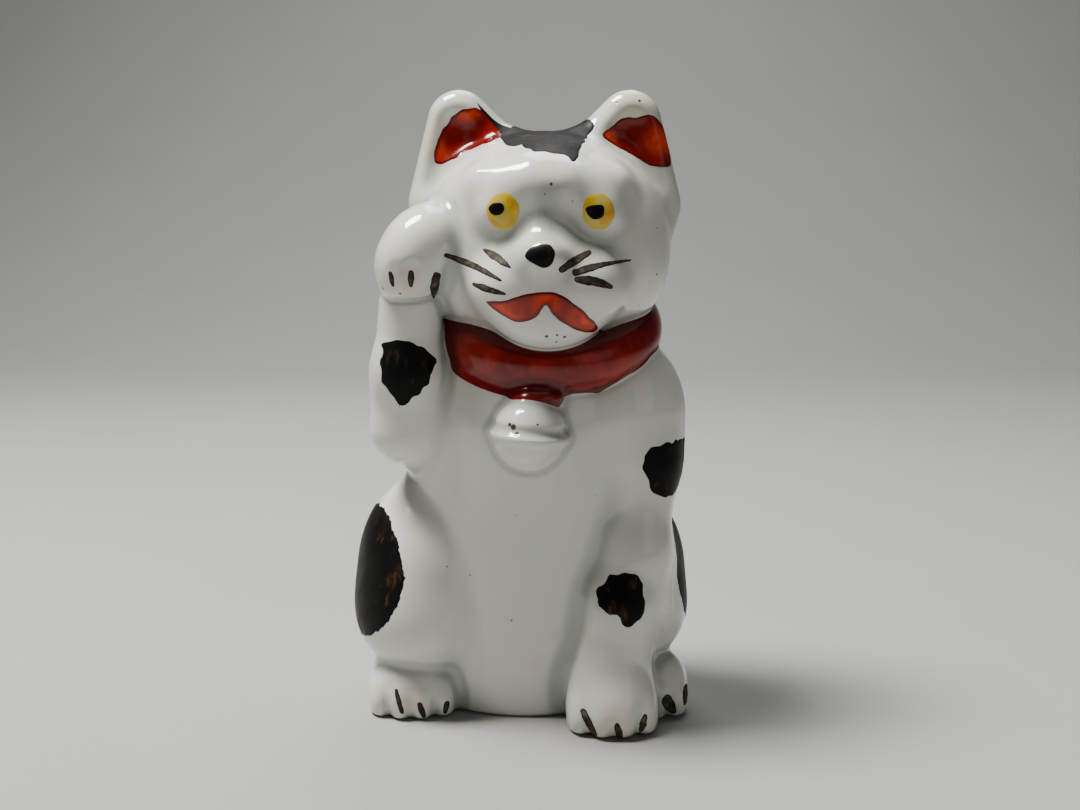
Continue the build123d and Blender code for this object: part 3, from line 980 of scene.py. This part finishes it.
def finer(verts, tris):
    """Each triangle in four."""
    edges = np.sort(np.concatenate([tris[:, [0, 1]], tris[:, [1, 2]], tris[:, [2, 0]]]), axis=1)
    unique, where = np.unique(edges, axis=0, return_inverse=True)
    mid = (len(verts) + where.ravel()).reshape(3, -1).T
    made = (verts[unique[:, 0]] + verts[unique[:, 1]]) / 2
    a, b, c = tris.T
    ab, bc, ca = mid.T
    parts = [np.stack(t, axis=1) for t in ((a, ab, ca), (ab, b, bc), (ca, bc, c), (ab, bc, ca))]
    return np.vstack([verts, made]), np.concatenate(parts)


def aside(normal, facing, least=0.2):
    """Positive where the skin has turned away from a direction, so that a coat ends there."""
    return -FAR if facing is None else 3.0 * (least - normal @ np.array(facing, float))


def coat(name, stencil, region, enamel, thick=COAT, edge=0.35, levels=1, lift=0.0, facing=None):
    """A closed layer of enamel where stencil < 0 within a box region, thinning to nothing at its edge."""
    low, high = region
    inside = np.all((verts >= low) & (verts <= high), axis=1)
    part = all_tris[inside[all_tris].all(axis=1)]
    if facing is not None:
        part = part[(normals[part].mean(axis=1) @ np.array(facing, float)) > 0.0]
    part, v = used(part, verts)
    for _ in range(levels):
        v, part = finer(v, part)
    v, n = settle(skin, v, 1)
    v, part, _ = cut(v, part, np.maximum(stencil(v), aside(n, facing)))
    part, v = used(part, v)
    _, flat = settle(skin, v, 1)
    limit = aside(flat, facing)

    def rise(p):
        t = np.clip(-np.maximum(stencil(p), limit) / edge, 0, 1)
        return lift + thick * t * (2 - t)

    top, n = settle(lambda p: skin(p) - rise(p), v, 2)
    bottom = v - flat * BED + flat * lift * 0.5
    rim = []
    count = len(v)
    for loop in rims(part):
        for a, b in zip(loop, loop[1:] + loop[:1]):
            rim += [(b, a, a + count), (b, a + count, b + count)]
    whole = np.vstack([part, part[:, ::-1] + count] + ([np.array(rim)] if rim else []))
    depth = np.clip(1 + np.maximum(stencil(v), limit) / (edge * 2.2), 0, 1)
    mesh_object(name, np.vstack([top, bottom]), whole, np.vstack([n, -flat]), *enamel, name,
                np.concatenate([depth, depth]))


all_tris = np.concatenate(list(pieces.values()))


def around(node, margin):
    """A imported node's box, grown by a margin, as a region for a coat."""
    low, high = box_of(node)
    return low - margin, high + margin


def front_view(p, at):
    """Points seen from the front, measured from a place."""
    return np.stack([p[:, 0] - at[0], p[:, 2] - at[2]], axis=1)


def patch(points, at, rough=0.22, seed=1, axes=(0, 2)):
    def field(p):
        q = np.stack([p[:, axes[0]] - at[axes[0]], p[:, axes[1]] - at[axes[1]]], axis=1)
        return outline(q, points) + rough * ripple(p, 2.6, seed) + rough * 0.2 * ripple(p, 0.9, seed + 9)
    return field


def unrolled(points, at, side, seed, radius=12.0):
    """A patch whose outline is drawn on a round side, unrolled about the upright axis at a place."""
    def field(p):
        u = radius * np.arctan2(p[:, 1] - at[1], side * (p[:, 0] - at[0]))
        q = np.stack([u, p[:, 2] - at[2]], axis=1)
        return outline(q, points) + 0.22 * ripple(p, 3.4, seed) + 0.10 * ripple(p, 0.9, seed + 9)
    return field


def strokes(items, at, seed):
    def field(p):
        q = front_view(p, at)
        d = np.min([stroke(q, points, widths) for points, widths in items], axis=0)
        return d + 0.035 * ripple(p, 1.1, seed)
    return field


FRONT = (0, -1, 0)
BEHIND = (0, 1, 0)
FACE = head_at(0, 0, 0)

# each eye: the iris's x, its seed, and the pupil's middle and outline
EYES = {
    "right": (-6.2, 8, (-7.0, 3.5), [
        (-1.15, 0.1), (-0.4, 0.8), (0.8, 0.75), (1.1, -0.1), (0.5, -0.8), (-0.6, -0.75)]),
    "left": (7.7, 5, (7.3, 3.1), [
        (-1.3, 0.5), (0.0, 0.95), (1.2, 0.8), (1.15, -0.6), (0.0, -1.05), (-0.9, -0.6)]),
}
IRIS = [(-2.3, 0.4), (-1.2, 2.2), (0.8, 2.5), (2.4, 1.0), (2.2, -1.4), (0.6, -2.6), (-1.4, -1.9)]
for side, (x, seed, spot, shape) in EYES.items():
    iris, pupil = f"{side}_iris", f"{side}_pupil"
    coat(iris, patch(IRIS, FACE + np.array((x, 0, 3.1)), 0.12, seed), around(iris, (1.2, 3, 1.2)),
         YELLOW, 0.05, 0.5, 2, facing=FRONT)
    coat(pupil, patch(shape, FACE + np.array((spot[0], 0, spot[1])), 0.05, 3), around(pupil, (1.2, 3, 1.2)),
         BLACK, 0.06, 0.3, 2, lift=0.07, facing=FRONT)

nose = [(-2.5, 0.0), (-1.4, 1.3), (0.8, 1.5), (1.7, 0.4), (1.3, -1.2), (0.2, -1.8), (-1.2, -1.1)]
coat("nose_enamel", patch(nose, head_at(-0.3, 0, -3.2), 0.10, 4), around("nose_enamel", (2, 4, 2)), BLACK,
     levels=2, facing=FRONT)
mouth = [
    (-8.2, 1.0), (-5.8, 1.2), (-3.0, 2.0), (-0.4, 2.5), (2.4, 2.2), (5.2, 0.4), (8.2, -2.7), (6.8, -3.6),
    (4.0, -2.6), (1.6, -0.8), (0.5, 0.6), (-1.0, -1.2), (-3.4, -1.9), (-5.8, -0.9)]
coat("mouth_enamel", patch(mouth, head_at(-0.4, 0, -10.9), 0.05, 6), around("mouth_enamel", (2, 5, 2)), RED,
     facing=FRONT)

# brush strokes, as (points, half widths), in front view
whiskers = {
    "right": [
        ([(-14.5, -3.2), (-9.8, -5.0), (-6.3, -6.8)], (0.35, 0.5, 0.42, 0.15)),
        ([(-8.9, -2.4), (-6.8, -3.6), (-5.0, -4.9)], (0.2, 0.6, 0.5, 0.12)),
        ([(-10.4, -7.4), (-8.0, -8.1), (-5.7, -8.7)], (0.25, 0.5, 0.4, 0.12))],
    "left": [
        ([(2.4, -5.2), (4.2, -4.0), (6.4, -2.8)], (0.45, 0.62, 0.4)),
        ([(4.4, -5.6), (8.0, -4.6), (12.8, -3.9)], (0.5, 0.55, 0.3, 0.12)),
        ([(4.6, -6.6), (7.2, -6.9), (9.6, -7.7)], (0.4, 0.7, 0.6, 0.3))],
}
for side, items in whiskers.items():
    name = f"{side}_whiskers"
    coat(name, strokes(items, FACE, 11), around(name, (3, 5, 3)), BROWN, THIN, 0.25, 2, facing=FRONT)

over_crown = patch([
    (-4.8, 17.0), (-4.9, 14.8), (-3.6, 13.2), (-2.0, 12.3), (0.6, 11.7), (2.6, 11.5), (4.3, 10.5),
    (5.3, 12.2), (6.1, 14.2), (7.6, 17.2), (1.4, 20.0)], FACE, 0.16, 7)
crown_end = patch([
    (-9, -16), (9, -16), (8.4, 2), (5.4, 6.6), (0.0, 8.8), (-5.4, 6.6), (-8.4, 2)], FACE, 0.3, 19, (0, 1))
up_the_ear = strokes([
    ([(-10.0, 20.9), (-8.1, 18.7), (-6.3, 16.6), (-4.6, 14.8)], (0.8, 1.3, 1.6, 1.9))], FACE, 8)


def crown(p):
    """The front outline down to the brow, the plan's outline behind the crest, and the stroke up the ear."""
    q = p.copy()
    q[:, 2] = np.where(p[:, 1] > FACE[1] - 2, np.maximum(p[:, 2], FACE[2] + 14.5), p[:, 2])
    before_crest = np.maximum(up_the_ear(p), p[:, 1] - FACE[1] - 1)
    return np.minimum(np.maximum(over_crown(q), crown_end(p)), before_crest)


coat("crown_patch", crown, (head_at(-13, -14, 8), head_at(10, 11, 24)), BLACK)

linings = {
    "right": (right_ear_at(0, 0, 0), 2, [
        (-3.8, -1.4), (-3.4, 1.6), (-1.8, 4.6), (0.6, 6.6), (3.4, 6.6), (5.6, 4.6), (7.6, 3.0), (5.2, 1.6),
        (1.4, 0.2), (-1.6, -1.4)]),
    "left": (left_ear_at(0, 0, 0), 3, [
        (-4.3, 2.4), (-2.4, 4.6), (-0.6, 5.6), (1.2, 5.4), (3.6, 5.8), (5.4, 4.0), (6.6, 0.8), (6.4, -2.0),
        (3.4, -2.0), (0.2, -0.4)]),
}
for side, (at, seed, points) in linings.items():
    coat(f"{side}_ear_lining", patch(points, at, 0.12, seed), around(f"{side}_ear", (1, 2, 1)), RED,
         facing=FRONT)

# black patches seen from the front: middle, raggedness, seed and outline
front_patches = {
    "raised_foreleg_patch": (raised_at(0.2, 0, -4.8), 0.25, 12, [
        (-3.6, 4.2), (-0.4, 4.9), (2.2, 4.0), (4.2, 2.0), (3.6, -0.8), (1.6, -3.4), (-0.4, -4.8),
        (-2.6, -3.0), (-3.8, -0.2)]),
    "shoulder_patch": (standing_at(5.3, 0, 10.5), 0.22, 13, [
        (-3.4, 0.6), (-2.2, 3.4), (0.8, 4.2), (4.6, 3.8), (5.2, -1.0), (2.4, -4.0), (-1.0, -3.6)]),
    "standing_foreleg_patch": (standing_at(-1.4, 0, -8.9), 0.22, 14, [
        (-3.6, 0.8), (-1.6, 3.2), (0.8, 4.0), (3.2, 2.8), (3.6, -0.8), (2.6, -3.6), (0.6, -4.0), (-1.0, -2.2),
        (-2.8, -1.6)]),
}
for name, (at, rough, seed, points) in front_patches.items():
    coat(name, patch(points, at, rough, seed), around(name, 3), BLACK, facing=FRONT)

right_thigh = [
    (0.0, 10.9), (-8.0, 11.2), (-12.6, 10.0), (-15.6, 6.4), (-16.8, 2.2), (-15.6, -3.2), (-10.8, -8.2),
    (-1.0, -10.4), (5.0, -8.0), (8.0, -1.0), (5.6, 7.2)]
left_thigh = [
    (-9.4, 2.0), (-7.8, -6.0), (-1.0, -9.0), (5.6, -6.6), (8.8, 1.0), (5.8, 8.0), (-0.6, 10.0), (-7.0, 8.2)]
right_thigh_field = unrolled(right_thigh, right_haunch_at(2, -0.2, 0), -1, 15)
left_thigh_field = unrolled(left_thigh, left_haunch_at(-2, -0.2, 0.6), 1, 16)
coat("right_thigh_patch", right_thigh_field, around("right_haunch", 1), BLACK)
coat("left_thigh_patch", left_thigh_field, around("left_haunch", 1), BLACK)
back = [(-8.6, 1.4), (-4.2, 8.0), (3.0, 8.8), (8.4, 2.4), (6.4, -5.6), (-0.2, -9.2), (-6.8, -6.0)]
coat("back_patch", patch(back, torso_at(-4.8, 0, 7.1), 0.15, 17), around("back_patch", 3), BLACK,
     facing=BEHIND)


def tail_end(p):
    """The tail above a wavering line, and nothing of the torso beside it."""
    off_tail = np.maximum(0, 40 * (tail(p) - torso(p)))
    return tail_at(0, 0, 2.6)[2] - p[:, 2] + 0.7 * ripple(p, 3, 18) + off_tail


coat("tail_patch", tail_end, around("tail_patch", (3, 3, 3)), BLACK)

claws = {
    "raised_paw_claws": (raised_at, [
        ([(-1.6, 10.4), (-1.3, 8.6)], (0.28, 0.42, 0.2)),
        ([(1.5, 10.4), (1.4, 8.6)], (0.42, 0.5, 0.25)),
        ([(5.1, 10.0), (4.3, 6.6)], (0.55, 0.6, 0.15))]),
    "standing_paw_claws": (standing_at, [
        ([(-7.2, -25.6), (-5.6, -29.0)], (0.5, 0.62, 0.5)),
        ([(-2.2, -27.0), (-1.7, -29.2)], (0.3, 0.6, 0.5)),
        ([(2.2, -26.2), (1.6, -28.8)], (0.3, 0.6, 0.3))]),
    "right_hind_paw_claws": (right_paw_at, [
        ([(-2.2, 0.1), (-1.3, -3.4)], (0.3, 0.42, 0.3)),
        ([(1.5, -2.0), (2.1, -4.1)], (0.4, 0.5, 0.35)),
        ([(5.7, -2.4), (5.4, -3.9)], (0.4, 0.45, 0.3))]),
    "left_hind_paw_claws": (left_paw_at, [
        ([(3.4, -1.6), (4.4, -3.6)], (0.9, 0.9, 0.6)),
        ([(6.6, -0.4), (6.5, -2.7)], (0.45, 0.5, 0.3))]),
}
for name, (at, items) in claws.items():
    coat(name, strokes(items, at(0, 0, 0), 21), around(name, (1.5, 2.5, 1.5)), BROWN, THIN, 0.25, 2,
         facing=(0, -0.9, -0.1))


# ---- floor, light and camera

def plain(name, colour, roughness=0.9):
    m = Maker(name)
    shade = m.ramp(m.noise(0.02, 3.0), [(0.3, tuple(c * 0.97 for c in colour)), (0.7, colour)])
    return m.finish(shade, roughness)


centre = (low_all + high_all) / 2 * MM


def backdrop(depth=0.95, wide=4.0, rise=1.5, bend=0.45, steps=24):
    """A pale floor that sweeps up into a wall behind."""
    line = [(-2.5, 0.0), (depth - bend, 0.0)]
    for k in range(1, steps + 1):
        a = math.pi / 2 * k / steps
        line.append((depth - bend + bend * math.sin(a), bend - bend * math.cos(a)))
    line.append((depth, rise))
    mesh = bpy.data.meshes.new("floor")
    points = [(x, y, z + FLOOR_Z * MM) for y, z in line for x in (-wide / 2, wide / 2)]
    mesh.from_pydata(points, [], [(2 * k, 2 * k + 1, 2 * k + 3, 2 * k + 2) for k in range(len(line) - 1)])
    mesh.polygons.foreach_set("use_smooth", [True] * len(mesh.polygons))
    made = bpy.data.objects.new("floor", mesh)
    show(made)
    made.data.materials.append(plain("pale_floor", (0.36, 0.36, 0.35)))


backdrop()


def soft_light(name, location, target, size, energy, colour=(1, 1, 1)):
    data = bpy.data.lights.new(name, "AREA")
    data.shape = "RECTANGLE"
    data.size, data.size_y = size
    data.energy = energy
    data.color = colour
    lamp = bpy.data.objects.new(name, data)
    lamp.location = location
    lamp.rotation_euler = (Vector(target) - Vector(location)).to_track_quat("-Z", "Y").to_euler()
    show(lamp)


middle = Vector((0, 0, 0.05))
soft_light("window", (-0.22, -0.005, 0.60), middle, (0.16, 0.22), 9.2, (1.0, 0.985, 0.95))
soft_light("overhead", (0.06, 0.42, 0.80), Vector((0, 0.40, 0.1)), (0.6, 0.4), 3.6, (0.98, 0.99, 1.0))
soft_light("fill", (0.50, -0.60, 0.30), middle, (0.5, 0.5), 0.28, (1.0, 1.0, 0.96))

world = bpy.data.worlds.new("room")
bpy.context.scene.world = world
world.use_nodes = True
world.node_tree.nodes["Background"].inputs["Color"].default_value = (0.90, 0.90, 0.88, 1)
world.node_tree.nodes["Background"].inputs["Strength"].default_value = 0.055

FOCAL_LENGTH = 40.5
SENSOR = 36
LOOKING_DOWN = 7.5  # degrees
CAMERA = (0.0021, -0.195, 0.075)  # from the middle of the foot's width, the origin and the foot
lens = bpy.data.cameras.new("camera")
lens.lens = FOCAL_LENGTH
lens.sensor_width = SENSOR
lens.clip_start = 0.01
lens.clip_end = 20
camera = bpy.data.objects.new("camera", lens)
camera.location = (centre[0] + CAMERA[0], CAMERA[1], FLOOR_Z * MM + CAMERA[2])
camera.rotation_euler = (math.radians(90 - LOOKING_DOWN), 0, 0)
show(camera)
bpy.context.scene.camera = camera
